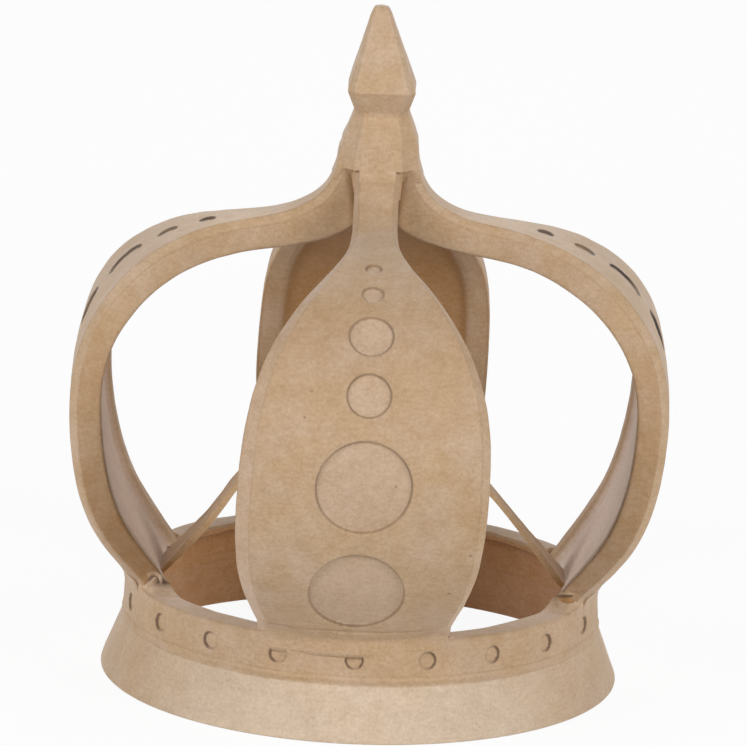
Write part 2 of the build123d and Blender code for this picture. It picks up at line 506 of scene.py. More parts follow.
# Sunk panels: distance of the middle up the face, and diameter
large_panel = 37.0
middle_panel = 17.0
panels = np.array(
    [
        (26.8, large_panel),
        (73.9, large_panel),
        (110.2, middle_panel),
        (134.8, middle_panel),
        (155.4, 8.4),
        (172.4, 6.1),
    ]
)
panel_depth = 1.1
panel_wall = 0.8

# Distances up the face at which one arch departs from another, and how far each departure reaches
bulge_middle = 90.0
bulge_reach = 45.0
belly_middle = 80.0
belly_reach = 40.0
sway_middle = 105.0
sway_reach = 45.0
foot_shift_end = 110.0
thick_foot_end = 95.0
thick_foot_fade = 60.0
neck_length = 14.0

# Where the necks are mitred, a point keeps this share of the depth that it was pressed in by, so that no
# two points meet
mitre_give = 0.002
axis_clearance = 0.05


def spline_through(knots, values, at):
    """Natural cubic spline: the second derivatives at the knots solve a system of three diagonals, and
    each span is the cubic that has them at its two ends."""
    span = np.diff(knots)
    count = len(knots)
    system = np.eye(count)
    middle = np.arange(1, count - 1)
    system[middle, middle - 1] = span[:-1]
    system[middle, middle] = 2.0 * (span[:-1] + span[1:])
    system[middle, middle + 1] = span[1:]
    bends = np.zeros_like(values)
    bends[1:-1] = 6.0 * np.diff(np.diff(values, axis=0) / span[:, None], axis=0)
    bends = np.linalg.solve(system, bends)
    place = np.clip(np.searchsorted(knots, at, side="right") - 1, 0, count - 2)
    after = ((at - knots[place]) / span[place])[:, None]
    before = 1.0 - after
    width = span[place][:, None] ** 2 / 6.0
    straight = before * values[place] + after * values[place + 1]
    return straight + width * ((before**3 - before) * bends[place] + (after**3 - after) * bends[place + 1])


def face_line(distance=None, rows=2):
    """The stations' five values up the middle of the face, at the distances given or at even ones, with
    the distances."""
    steps = np.linalg.norm(np.diff(arch_stations[:, :2], axis=0), axis=1)
    knots = np.concatenate([[0.0], np.cumsum(steps)])
    dense = np.linspace(0.0, knots[-1], 6000)
    line = spline_through(knots, arch_stations, dense)
    travelled = np.concatenate([[0.0], np.cumsum(np.linalg.norm(np.diff(line[:, :2], axis=0), axis=1))])
    if distance is None:
        distance = np.linspace(0.0, travelled[-1], rows)
    at = np.interp(distance, travelled, dense)
    return distance, spline_through(knots, arch_stations, at)


def turned_corner(before, corner, after, reach, steps):
    """A corner softened by the quadratic curve that leaves the line to the corner before, one reach from
    the corner, and joins the line to the corner after, one reach past it. One corner a row."""
    start = corner + reach * unit(before - corner)
    end = corner + reach * unit(after - corner)
    turn = np.linspace(0.0, 1.0, steps)[None, :, None]
    return (1 - turn) ** 2 * start[:, None] + 2 * turn * (1 - turn) * corner[:, None] + turn**2 * end[:, None]


def straight_run(start, end, count):
    """Points evenly between two, without the two themselves. One run a row."""
    share = np.linspace(0.0, 1.0, count + 2)[None, 1:-1, None]
    return start[:, None] + (end - start)[:, None] * share


arris_points = 5
bevel_points = 3
wall_points = 7
bevel_share = 0.22


def section_side(half, fall, back, bevel):
    """One side of an arch's section, from the face's edge round the bevel and the wall to the inner face,
    as distance across and depth, one row a section."""
    bevel = np.minimum(bevel, bevel_share * half)
    flat = half - bevel
    flat_depth = fall * (flat / half) ** 2
    edge = np.stack([flat, flat_depth], axis=-1)
    before_edge = np.stack([flat - 1.0, fall * ((flat - 1.0) / half) ** 2], axis=-1)
    wall_top = np.stack([half, flat_depth + bevel_fall], axis=-1)
    wall_foot = np.stack([half, back], axis=-1)
    past_foot = np.stack([half - 1.0, back], axis=-1)
    edge_turn = turned_corner(before_edge, edge, wall_top, arris, arris_points)
    top_turn = turned_corner(edge, wall_top, wall_foot, arris, arris_points)
    foot_turn = turned_corner(wall_top, wall_foot, past_foot, inner_arris, arris_points)
    bevel_run = straight_run(edge_turn[:, -1], top_turn[:, 0], bevel_points)
    wall_run = straight_run(top_turn[:, -1], foot_turn[:, 0], wall_points)
    return np.concatenate([edge_turn, bevel_run, top_turn, wall_run, foot_turn], axis=1)


# Where the points of a side are, as numbers: 0 on the face, 1 to 2 on the bevel, 3 to 4 on the wall, and
# 5 on the inner face's border
side_zones = np.concatenate(
    [
        np.linspace(0, 1, arris_points),
        np.linspace(1, 2, bevel_points + 2)[1:-1],
        np.linspace(2, 3, arris_points),
        np.linspace(3, 4, wall_points + 2)[1:-1],
        np.linspace(4, 5, arris_points),
    ]
)

# Points across the face: most are over the sunk panels, and the rest are beside them
panel_half = 20.0
panel_share = 0.76
panel_columns = 82
beside_columns = 9
face_middle = beside_columns + panel_columns // 2
neck_panel_share = 0.84

# The inner face: its border narrows with the arch, and it runs out flat where the arch is narrow
inner_columns = 38
border_share = 0.3
plain_half = 11.0
plain_fade = 18.0


def arch_section(half, fall, thickness, left_bevel, right_bevel):
    """Outline across the arch, as distance across, depth below the face and zone, one row a section: the
    crowned face, a side to the right, the inner face set in behind its sloping border, and a side to the
    left. The face's points are close together over the sunk panels and wider apart beside them."""
    back = thickness + fall * inner_follow
    right_side = section_side(half, fall, back, right_bevel)
    left_side = section_side(half, fall, back, left_bevel)[:, ::-1] * (-1.0, 1.0)
    middle = np.minimum(panel_half, neck_panel_share * right_side[:, :1, 0])
    beside = np.linspace(panel_share, 1.0, beside_columns + 2)[1:-1]
    over_panels = np.linspace(-panel_share, panel_share, panel_columns)
    share = np.concatenate([-beside[::-1], over_panels, beside])
    limit = np.where(share > 0, right_side[:, :1, 0], -left_side[:, -1:, 0])
    past = (np.abs(share) - panel_share) / (1.0 - panel_share)
    across = np.where(past > 0, middle + past * (limit - middle), np.abs(share) / panel_share * middle)
    face_across = np.sign(share) * across
    face_depth = fall[:, None] * (face_across / half[:, None]) ** 2
    inner_half = right_side[:, -1:, 0]
    inner_turn = np.linspace(np.pi / 2, -np.pi / 2, inner_columns + 2)
    inner_across = inner_half * np.sin(inner_turn)[1:-1]
    inner_depth = thickness[:, None] + (back - thickness)[:, None] * (inner_across / half[:, None]) ** 2
    border = np.minimum(inner_border, border_share * half[:, None])
    inward = smooth_step((inner_half - border - np.abs(inner_across)) / inner_slope)
    inward = inward * smooth_step((half[:, None] - plain_half) / plain_fade)
    inner_depth = inner_depth - inner_set_in * inward
    sides = np.broadcast_to(side_zones, right_side.shape[:2])
    outline_across = [face_across, right_side[..., 0], inner_across, left_side[..., 0]]
    outline_depth = [face_depth, right_side[..., 1], inner_depth, left_side[..., 1]]
    zones = [0.0 * face_across, sides, 5.0 + inward, sides[:, ::-1]]
    return [np.concatenate(part, axis=1) for part in (outline_across, outline_depth, zones)]


def arch_surface(seed, left_bevel=bevel_width, right_bevel=bevel_width, foot_shift=0.0, belly_shift=0.0,
                 belly_gain=0.0, bulge_shift=0.0, inner_gain=0.0, neck_gain=0.0, panel_shift=0.0,
                 rows=300, foot_rows=8):
    """An arch facing +X, as a grid of sections set square to its face line, run straight down to the rim
    at the foot and mitred at 45 degrees towards its neighbours. The panels are sunk where the distance
    from a panel's middle, over the face, is under its radius. The shifts and gains are how far this arch
    departs from the others. Returns the points and, for each, where it is: across, up the face, and zone."""
    distance, line = face_line(rows=rows)
    radius = line[:, 0] + bulge_shift * bump(distance - bulge_middle, bulge_reach)
    height = rim_height + line[:, 1]
    tangent = unit(np.stack([np.gradient(radius, distance), np.gradient(height, distance)], axis=-1))
    half = line[:, 2] / 2 + belly_gain * bump(distance - belly_middle, belly_reach)
    half = half + neck_gain * smooth_step((distance - distance[-1] + neck_length) / neck_length)
    thickness = line[:, 4] + inner_gain * smooth_step((thick_foot_end - distance) / thick_foot_fade)
    across, depth, zone = arch_section(half, line[:, 3], thickness, left_bevel, right_bevel)
    up = np.broadcast_to(distance[:, None], across.shape)
    sunk = np.zeros_like(across)
    for middle, diameter in panels:
        away = np.hypot(across, up - middle - panel_shift)
        sunk += panel_depth * smooth_step((diameter / 2 - away) / panel_wall + 0.5)
    below = depth + sunk * (zone < 0.5)
    ahead = radius[:, None] - below * tangent[:, 1:2]
    above = height[:, None] + below * tangent[:, 0:1]
    sideways = across + foot_shift * smooth_step(1.0 - up / foot_shift_end)
    sideways = sideways + belly_shift * bump(up - sway_middle, sway_reach)
    drop = (above[0] - rim_height) / tangent[0, 1]
    share = np.linspace(1.0, 0.0, foot_rows + 1)[:-1, None]
    ahead = np.concatenate([ahead[:1] - share * drop * tangent[0, 0], ahead])
    above = np.concatenate([above[:1] - share * drop * tangent[0, 1], above])
    sideways, across, zone = (
        np.concatenate([np.repeat(part[:1], foot_rows, axis=0), part]) for part in (sideways, across, zone)
    )
    up = np.concatenate([-share * drop, up])
    points = np.stack([ahead, sideways, above], axis=-1)
    lumps = unevenness(points, 42.0, 0.16, seed) + unevenness(points, 9.0, 0.05, seed + 1)
    lumps *= smooth_step((above - rim_height) / 6.0) * smooth_step((crossing_height - above) / 10.0)
    points = raised(points, lumps)
    kept_ahead = np.maximum(points[..., 0], axis_clearance)
    points[..., 0] = kept_ahead + mitre_give * (points[..., 0] - kept_ahead)
    kept_across = np.clip(points[..., 1], -points[..., 0], points[..., 0])
    points[..., 1] = kept_across + mitre_give * (points[..., 1] - kept_across)
    points[..., 2] = np.minimum(points[..., 2], crossing_height)
    return points, np.stack([across, up - panel_shift, zone], axis=-1)


def turned_to(points, bearing):
    """Turns a piece that faces +X about the crown's axis, to face a bearing in degrees from +X."""
    cosine = np.cos(np.radians(bearing))
    sine = np.sin(np.radians(bearing))
    return points @ np.array([[cosine, sine, 0.0], [-sine, cosine, 0.0], [0.0, 0.0, 1.0]])


def panel_shade_lines(strength, half_width):
    """Painted shade: dark lines round the sunk panels' walls, as strong and as wide as given, for a finish.
    """

    def share(finish):
        across, up, zone = finish.place()
        lines = 0.0
        for middle, diameter in panels:
            away = finish.length(across, up - float(middle))
            lines = away.line(float(diameter) / 2, half_width, 0.4) + lines
        patchy = 0.85 + finish.point().noise(14.0, detail=1.0, seed=8.0) * 1.8
        return (lines * zone.ramp(0.6, 0.3) * patchy).clamped() * strength

    return share


def panel_floors(finish):
    """The sunk panels, which are a little paler than the face round them."""
    across, up, zone = finish.place()
    floors = 0.0
    for middle, diameter in panels:
        away = finish.length(across, up - float(middle))
        floors = away.ramp(float(diameter) / 2, float(diameter) / 2 - 1.0) + floors
    return floors * zone.ramp(0.6, 0.3) * 0.7


def inner_face(strength):
    """The arch's inner face within its border, as strong as given, for a finish."""

    def share(finish):
        across, up, zone = finish.place()
        return zone.ramp(5.15, 5.85) * strength

    return share


def shaded_walls(finish):
    """Painted shade on the arch's walls, which makes them browner than its face, fading out high up."""
    across, up, zone = finish.place()
    return zone.ramp(2.2, 2.8) * zone.ramp(5.0, 4.6) * up.ramp(130.0, 95.0) * 0.36


def left_foot_shadow(finish):
    """Painted shadow on the foot of the wall that faces the front on the left arch, in patches."""
    across, up, zone = finish.place()
    patchy = 0.78 + finish.point().noise(9.0, detail=3.0, seed=14.0) * 1.5
    on_wall = zone.ramp(1.0, 2.6) * zone.ramp(5.0, 4.6)
    return on_wall * across.ramp(10.0, 20.0) * up.ramp(76.0, 20.0) * patchy * 0.85


def arris_and_shade_lines(finish):
    """Thin lines along the arrises of the bevels, and painted shade along the arris of the inner face."""
    across, up, zone = finish.place()
    patchy = finish.patches(30.0, 2.0, 0.7, seed=13.0)
    outer = zone.line(0.5, 0.1, 0.45) * 0.8 + zone.line(2.5, 0.1, 0.45)
    return (outer * patchy * 0.3 + zone.line(4.75, 0.05, 0.3) * 0.5).clamped()


def browned_top(finish):
    """The top of the front arch's face and its neck, a little browner than the rest."""
    across, up, zone = finish.place()
    return up.ramp(85.0, 140.0) * zone.ramp(3.0, 2.5) * 0.2


def lit_left_bevel(finish):
    """Painted light on the front arch's left bevel, which makes it paler, in patches."""
    across, up, zone = finish.place()
    patchy = finish.patches(8.0, 1.6, 0.8, seed=19.0, detail=2.0)
    on_bevel = zone.ramp(0.4, 1.0) * zone.ramp(2.8, 2.2)
    return on_bevel * across.ramp(5.0, -5.0) * patchy * 0.25


def foot_seam(finish):
    """The upper edge of the paper strip across the foot, a thin wavering line."""
    across, up, zone = finish.place()
    waver = finish.point().noise(16.0, detail=1.0, seed=17.0) * 1.6
    patchy = finish.patches(11.0, 1.8, 0.75, seed=18.0)
    height = up + waver + across * across * 0.0018
    return height.line(5.9, 0.2, 0.6) * zone.ramp(0.8, 0.4) * patchy * 0.5


# Small knocks and spots on the front arch: across, up the face, and radius
blemishes = [
    (12.1, 75.0, 0.5),
    (42.9, 46.6, 0.6),
    (35.9, 27.7, 0.7),
    (-22.0, 111.0, 0.45),
    (-24.4, 101.0, 0.5),
]


def front_blemishes(finish):
    """Dark spots where the front arch's paper was knocked."""
    across, up, zone = finish.place()
    spots = 0.0
    for beside, middle, radius in blemishes:
        away = finish.length(across - beside, (up - middle) * 1.4)
        spots = away.ramp(radius + 0.3, radius - 0.3) + spots
    return spots * zone.ramp(0.6, 0.3) * 0.6


walls = [(KRAFT_SHADE, shaded_walls), (KRAFT_SEAM_AND_SHADE, arris_and_shade_lines), (KRAFT_SEAM_AND_SHADE, foot_seam)]
# Painted shade round the sunk panels: thin lines on the front and back arches, near-black slits on the left
# and right ones
lined_panels = [(KRAFT_PINK, panel_floors), (KNOCK_AND_SHADE_DARK, panel_shade_lines(0.6, 0.18))]
shaded_slit_panels = [(KRAFT_PINK, panel_floors), (SLIT_SHADE, panel_shade_lines(1.0, 0.26))]
# Painted shade on the front and back arches' inner faces, and painted sheen, pinker and paler, on the left
# and right ones
shaded_inside = [(KRAFT_SHADE, inner_face(0.9))]
rose_sheen_inside = [(KRAFT_ROSE_LIGHT, inner_face(0.8))]
blush_sheen_inside = [(KRAFT_BLUSH_SHEEN, inner_face(0.95))]
front_lit_bevel_and_brown_top = [(KRAFT_ROSE_LIGHT, lit_left_bevel), (KRAFT_SEAM_AND_SHADE, browned_top)]
front_spots = [(KNOCK_AND_SHADE_DARK, front_blemishes)]
left_foot = [(KRAFT_SHADE, left_foot_shadow)]
front_paper = kraft_paper("kraft_front_paper", walls + front_lit_bevel_and_brown_top + lined_panels + shaded_inside + front_spots)
back_paper = kraft_paper("kraft_back_paper", walls + lined_panels + shaded_inside)
left_paper = kraft_paper("kraft_left_paper", walls + left_foot + shaded_slit_panels + rose_sheen_inside)
right_paper = kraft_paper("kraft_right_paper", walls + shaded_slit_panels + blush_sheen_inside)

# How each arch departs from the others, in millimetres
front_form = {
    "seed": 21,
    "left_bevel": 5.2,
    "right_bevel": 3.2,
    "foot_shift": -2.2,
    "belly_shift": 0.3,
    "belly_gain": 0.9,
}
back_form = {"seed": 31, "belly_shift": -1.3}
left_form = {"seed": 41, "bulge_shift": -1.0, "inner_gain": 1.4, "neck_gain": 2.8, "panel_shift": 2.0}
right_form = {"seed": 51, "inner_gain": 1.0, "neck_gain": 2.4, "panel_shift": 1.4}
arches = [
    ("front_leaf", "front_arch", front_paper, -90.0, front_form),
    ("back_leaf", "back_arch", back_paper, 90.0, back_form),
    ("left_leaf", "left_arch", left_paper, 180.0, left_form),
    ("right_leaf", "right_arch", right_paper, 0.0, right_form),
]
hub_share = 0.75
for name, node, paper, bearing, form in arches:
    points, places = arch_surface(**form)
    points = turned_to(points, bearing)
    near_face = hub_share * points[0, face_middle] + (1.0 - hub_share) * points[0].mean(axis=0)
    grid_piece(name, points, places, paper, node=node, hub=near_face)

# Joint strips: a strip of kraft paper pasted across each foot, from the arch's face down over the rim's
# rounded edge to the row of dimples. It is what holds the arch to the band.

strip_thickness = 0.28
strip_bury = 0.8
strip_rise = 4.6
strip_bridge = 1.4
strip_step_place = 11.0
strip_step_length = 4.0
strip_columns = 90
strip_band_rows = 18
strip_face_rows = 16


def pasted_sheet(middle, lift, bury, spots):
    """A thin sheet over a grid of points: its outside is the grid raised by the lift, its inside the grid
    sunk by the bury, and the columns go along one and back along the other. The spots, one vector a point
    of the grid, are the same on both sides."""
    normals = unit(np.cross(np.gradient(middle, axis=1), np.gradient(middle, axis=0)))
    outer = middle + normals * lift[..., None]
    inner = middle - normals * bury
    points = np.concatenate([outer, inner[:, ::-1]], axis=1)
    return points, np.concatenate([spots, spots[:, ::-1]], axis=1)


def edge_fade(count, reach):
    """Rises from 0 at both ends of a run of points to 1 a few points in."""
    place = np.arange(count)
    return smooth_step(np.minimum(place, place[::-1]) / reach)


def strip_surface(half_width, foot_shift, lower_edge, raised_end, seed):
    """A strip facing +X: its rows go up the band's circle and on up the arch's face, and are averaged over
    a few rows so that it bridges the rim's edge. Its lower edge steps up by the raised end."""
    across = np.linspace(-half_width, half_width, strip_columns)
    bottom = lower_edge + raised_end * smooth_step((across - strip_step_place) / strip_step_length)
    share = np.linspace(0.0, 1.0, strip_band_rows)[:, None]
    level = bottom + share * (rim_height - strip_bridge - bottom)
    band = band_radius + (crease_radius - band_radius) * (rim_height - level) / (rim_height - crease_height)
    band_ahead = np.sqrt(band**2 - (across + foot_shift) ** 2)
    line = face_line(distance=np.linspace(0.0, strip_rise, strip_face_rows))[1]
    depth = line[:, 3:4] * (across / (line[:, 2:3] / 2)) ** 2
    face_ahead = line[:, 0:1] - depth * foot_slope
    face_level = rim_height + line[:, 1:2] + depth * np.sqrt(1.0 - foot_slope**2)
    ahead = np.concatenate([band_ahead, face_ahead])
    above = np.concatenate([level, face_level])
    middle = vectors_of(ahead, across + foot_shift, above)
    for _ in range(5):
        middle[1:-1] = (middle[:-2] + 2.0 * middle[1:-1] + middle[2:]) / 4.0
    lift = strip_thickness + unevenness(middle, 12.0, 0.06, seed)
    feathered = smooth_step(np.arange(len(middle)) / 5.0)[:, None]
    lift = lift * edge_fade(len(across), 2.0) * edge_fade(len(middle), 2.0)[:, None]
    lift = lift * feathered - 0.25 * (1.0 - feathered)
    from_end = half_width - np.abs(across)
    from_top = middle[-1, :, 2] - middle[..., 2]
    from_bottom = middle[..., 2] - bottom
    spots = vectors_of(from_end, from_top, from_bottom)
    return pasted_sheet(middle, lift, strip_bury, spots)


def sheet_edges(finish):
    """The torn edge of a pasted sheet, where dust and paste make a thin line."""
    from_end, from_top, from_bottom = finish.place()
    nearest = from_end.smaller(from_top).smaller(from_bottom)
    patchy = finish.patches(18.0, 1.6, 0.7, seed=15.0)
    return nearest.ramp(0.8, 0.2) * patchy * 0.2


strip_paper = kraft_paper("kraft_strip_paper", [(KRAFT_SEAM_AND_SHADE, sheet_edges)])

# Bearing, half length, shift with the foot, height of the lower edge, step up of its end, and seed
strips = [
    ("front_strip", -90.0, 36.3, -1.6, 32.6, 2.4, 81),
    ("back_strip", 90.0, 36.0, 0.0, 32.6, 0.0, 82),
    ("left_strip", 180.0, 35.0, 0.0, 35.4, 0.0, 83),
    ("right_strip", 0.0, 35.0, 0.0, 35.4, 0.0, 84),
]
for name, bearing, half_width, foot_shift, lower_edge, raised_end, seed in strips:
    points, places = strip_surface(half_width, foot_shift, lower_edge, raised_end, seed)
    grid_piece(name, turned_to(points, bearing), places, strip_paper)

# Foot fillets: wet paper built up on the flange beside each foot, rising to the wall so that the two run into
# one another. The left arch's front one dried in folds, and the right arch's front one pulled open into a
# small pocket.

fillet_reach = 13.0
fillet_rise = 2.8
fillet_lift = 0.25
fillet_bury = 1.4
fillet_hem = 2.8
fillet_peak_place = 82.2
fillet_peak_reach = 3.2
fillet_tuck = 0.5
fillet_bevel_back = 4.0
fillet_bevel_depth = 3.0
fillet_rows = 60
fillet_inner_rows = 4
fillet_outer_rows = 6
fillet_columns = 34
fold_height = 1.15
fold_reach = 0.42
pocket_half_length = 3.9
pocket_half_height = 1.3
pocket_level = rim_height + 3.8
pocket_depth = 0.7

# Crests of the folds, as paths of places along the wall and heights
fold_paths = [
    [(88.7, 43.2), (86.9, 46.7)],
    [(86.3, 42.7), (84.2, 46.2), (82.7, 47.4)],
    [(82.7, 47.6), (80.0, 46.2), (78.4, 43.6)],
    [(84.0, 42.0), (81.4, 44.6)],
]


def from_path(ahead, above, path):
    """Distance from a path of straight runs: the least of the distances from its runs, each taken to the
    nearest point between the run's two ends."""
    nearest = np.full(np.broadcast(ahead, above).shape, np.inf)
    for (first_ahead, first_above), (last_ahead, last_above) in zip(path[:-1], path[1:]):
        run = np.array([last_ahead - first_ahead, last_above - first_above])
        share = ((ahead - first_ahead) * run[0] + (above - first_above) * run[1]) / (run @ run)
        share = np.clip(share, 0.0, 1.0)
        away = np.hypot(ahead - first_ahead - share * run[0], above - first_above - share * run[1])
        nearest = np.minimum(nearest, away)
    return nearest


def fillet_surface(side, peak, folds, pocket, seed):
    """A fillet on the arch that faces +X, beside its left or right wall. Its rows go from the flange's inner
    edge out to the band's outside, and its columns from the wall round the rim's circle, falling as the cube
    of the distance left. Folds are bells along their paths, and the pocket is a lens pressed in."""
    share = np.linspace(0.0, 1.0, fillet_rows)
    radius = opening_radius - 0.1 + (band_radius + 0.3 - opening_radius) * share
    inner_hem = np.full(fillet_inner_rows, radius[0])
    outer_hem = np.full(fillet_outer_rows, radius[-1])
    radius = np.concatenate([inner_hem, radius, outer_hem])[:, None]
    inner_fall = np.linspace(1.0, 0.2, fillet_inner_rows)
    outer_fall = np.linspace(0.2, 1.0, fillet_outer_rows)
    fallen = np.concatenate([inner_fall, np.zeros(fillet_rows), outer_fall])[:, None]
    turn = np.linspace(0.0, 1.0, fillet_columns)[None, :] ** 1.5
    on_bevel = smooth_step((radius - band_radius + fillet_bevel_depth) / fillet_bevel_depth)
    wall = foot_width / 2 - fillet_tuck - fillet_bevel_back * on_bevel
    bearing = np.arcsin(wall / radius) + turn * fillet_reach / radius
    ahead = radius * np.cos(bearing)
    sideways = radius * np.sin(bearing)
    from_peak = np.sqrt(radius**2 - wall**2) - fillet_peak_place
    rise = fillet_rise + peak * bump(from_peak, fillet_peak_reach)
    above = rim_height + rise * (1.0 - turn) ** 3
    above = above - fallen * (above - rim_height + fillet_hem)
    middle = vectors_of(ahead, sideways, above)
    for _ in range(3):
        middle[1:-1] = (middle[:-2] + 2.0 * middle[1:-1] + middle[2:]) / 4.0
    ahead = middle[..., 0]
    above = middle[..., 2]
    lift = fillet_lift * (1.0 - turn) + unevenness(middle, 6.0, 0.07, seed)
    crests = sum(bump(from_path(ahead, above, path), fold_reach) for path in fold_paths)
    lift = lift + folds * (fold_height * crests - 0.25 * (1.0 - turn) ** 2)
    along_lens = (ahead - fillet_peak_place) / pocket_half_length
    lens = np.hypot(along_lens, (above - pocket_level) / pocket_half_height)
    lip = 0.3 * bump(lens - 1.25, 0.2) * smooth_step((above - rim_height - 2.8) / 1.5)
    lift = lift + pocket * (lip - pocket_depth * smooth_step((1.1 - lens) / 0.4))
    crumple = lift
    lift = lift * edge_fade(lift.shape[0], 2.0)[:, None] * smooth_step((1.0 - turn) / 0.3)
    lift = lift - 0.6 * smooth_step((turn - 0.55) / 0.45)
    middle[..., 1] *= side
    spots = vectors_of(ahead, crumple, lens)
    if side > 0:
        middle, lift, spots = (part[:, ::-1] for part in (middle, lift, spots))
    return pasted_sheet(middle, lift, fillet_bury, spots)


def pocket_floor_shade(finish):
    """Painted shade on the pocket's floor, which makes it brown and dark."""
    ahead, crumple, lens = finish.place()
    return lens.ramp(1.15, 0.9) * 0.95


def pocket_lip_shadow(finish):
    """Painted shadow: a dark line under the pocket's upper lip."""
    ahead, crumple, lens = finish.place()
    across, along, above = finish.point().parts()
    return lens.line(0.95, 0.12, 0.3) * above.ramp(rim_height + 3.6, rim_height + 4.6) * 0.8


def height_share(finish):
    """1 along the fillet's upper edge, 0 where it has run out on the flange."""
    across, ahead, above = finish.point().parts()
    return above.ramp(rim_height + 2.0, rim_height + 4.5)


def fold_hollow_shade(finish):
    """Painted shade in the hollows between folds and at the fillet's inner end."""
    ahead, crumple, lens = finish.place()
    hollow = ahead.ramp(79.8, 78.6)
    return crumple.ramp(0.25, 0.05).larger(hollow) * height_share(finish) * 0.95


fillet_paper = kraft_paper("kraft_fillet_paper")
folded_paper = kraft_paper("kraft_folded_paper", [(KNOCK_AND_SHADE_DARK, fold_hollow_shade)])
pocket_paper = kraft_paper("kraft_pocket_paper", [(KRAFT_SHADE, pocket_floor_shade), (KNOCK_AND_SHADE_DARK, pocket_lip_shadow)])

# Bearing of the arch, side of it, rise of the peak, strength of the folds and of the pocket, paper and seed
fillets = [
    ("left_front_fillet", 180.0, 1.0, 4.8, 1.0, 0.0, folded_paper, 91),
    ("left_back_fillet", 180.0, -1.0, 0.4, 0.2, 0.0, fillet_paper, 92),
    ("right_front_fillet", 0.0, -1.0, 4.0, 0.0, 1.0, pocket_paper, 93),
    ("right_back_fillet", 0.0, 1.0, 0.4, 0.2, 0.0, fillet_paper, 94),
    ("back_left_fillet", 90.0, 1.0, 0.8, 0.3, 0.0, fillet_paper, 95),
    ("back_right_fillet", 90.0, -1.0, 1.0, 0.2, 0.0, fillet_paper, 96),
]
for name, bearing, side, peak, folds, pocket, paper, seed in fillets:
    points, places = fillet_surface(side, peak, folds, pocket, seed)
    grid_piece(name, turned_to(points, bearing), places, paper)

# Head strap: a flat band of doubled paper that arches over the wearer's head inside the crown, its two
# ends pasted against the feet of the left and right arches.

# Light orange for the painted light on the strap
KRAFT_WARM_LIGHT = (0.740, 0.500, 0.270, 1.0)

strap_width = 15.0
strap_thickness = 2.8
strap_lean = np.radians(48.0)
strap_bend_radius = 62.0
strap_offset = -2.0
strap_seat = 2.2
strap_foot = rim_height + strap_seat
strap_tuck = 0.5
strap_reach = millimetres("head_strap")[1][0] + strap_tuck
left_droop = 3.8
right_droop = 2.4
droop_reach = 34.0
left_sag = 1.7
sag_middle = 28.0
sag_reach = 11.0
right_slimmer = 0.3
end_gain = 0.45
strap_bow = 0.5


def strap_line(count):
    """Two straight legs and the round bend that is tangent to both: even distances along it, and the points
    there, across and up, each a step from the last in the mean of their two directions."""
    peak = strap_foot + strap_reach * np.tan(strap_lean)
    left = np.array([-strap_reach, strap_foot])
    top = np.array([strap_offset, peak])
    right = np.array([strap_reach, strap_foot])
    rising = unit(top - left)
    falling = unit(right - top)
    half_turn = np.arccos(np.clip(rising @ falling, -1, 1)) / 2
    cut = strap_bend_radius * np.tan(half_turn)
    leg_left = np.linalg.norm(top - left) - cut
    leg_right = np.linalg.norm(right - top) - cut
    bend = 2.0 * half_turn * strap_bend_radius
    distance = np.linspace(0.0, leg_left + bend + leg_right, count)
    angle = np.clip((distance - leg_left) / strap_bend_radius, 0.0, 2.0 * half_turn)
    start = np.arctan2(rising[1], rising[0])
    direction = np.stack([np.cos(start - angle), np.sin(start - angle)], axis=-1)
    step = np.diff(distance)[:, None] * (direction[1:] + direction[:-1]) / 2
    return distance, np.concatenate([left[None], left + np.cumsum(step, axis=0)])


def strap_surface(count):
    """A thin rounded band carried along the strap's line, which widens and droops towards its ends, sags
    along its left leg and is slimmer along its right one."""
    distance, line = strap_line(count)
    droop = np.where(line[:, 0] < 0.0, left_droop, right_droop)
    droop = droop * smooth_step((np.abs(line[:, 0]) - strap_reach + droop_reach) / droop_reach)
    sag = left_sag * bump(distance - sag_middle, sag_reach) * smooth_step(distance / 10.0)
    line = line - np.stack([-0.7 * sag, droop + 0.7 * sag], axis=-1)
    direction = unit(np.gradient(line, axis=0))
    normal = np.stack([-direction[:, 1], direction[:, 0]], axis=-1)
    from_end = np.minimum(distance, distance[-1] - distance)
    half_width = strap_width / 2 * (1.0 + end_gain * bump(from_end, 12.0))
    half_thick = strap_thickness / 2 * (1.0 - 0.2 * bump(from_end, 8.0))
    on_right = smooth_step((line[:, 0] - 10.0) / 20.0)
    slimmer = 1.0 - right_slimmer * on_right * smooth_step(from_end / 24.0)
    half_width = half_width * slimmer
    half_thick = half_thick * slimmer
    corners = [(-1.0, -1.0), (1.0, -1.0), (1.0, 1.0), (-1.0, 1.0)]
    outline = rounded_outline(corners, [0.14] * 4, [0.2] * 4, steps=5)
    across = half_width[:, None] * outline[:, 0]
    raise_by = half_thick[:, None] * outline[:, 1]
    bowed = strap_bow * (outline[:, 0] ** 2 - 0.5)
    raise_by = raise_by + bowed * smooth_step(from_end / 30.0)[:, None]
    beside = line[:, :1] + normal[:, :1] * raise_by
    above = line[:, 1:] + normal[:, 1:] * raise_by
    points = np.stack([beside, across, above], axis=-1)
    lumps = unevenness(points, 26.0, 0.22, seed=61) + unevenness(points, 8.0, 0.07, seed=62)
    points = raised(points, lumps)
    return points, vectors_of(distance[:, None], outline[None, :, 0], outline[None, :, 1])


def strap_painted_light(finish):
    """Painted light on the strap, which makes it lighter and warmer than the arches, most so along its left
    leg.
    """
    across, ahead, above = finish.point().parts()
    return 0.55 + across.ramp(20.0, -20.0) * 0.3


def strap_end_shade(finish):
    """Painted shade on the strap's two ends, deepening towards the rim."""
    across, ahead, above = finish.point().parts()
    slow = above.ramp(rim_height + 20.0, rim_height + 3.0) * 0.55
    quick = above.ramp(rim_height + 6.5, rim_height + 2.0) * 0.35
    return slow + quick


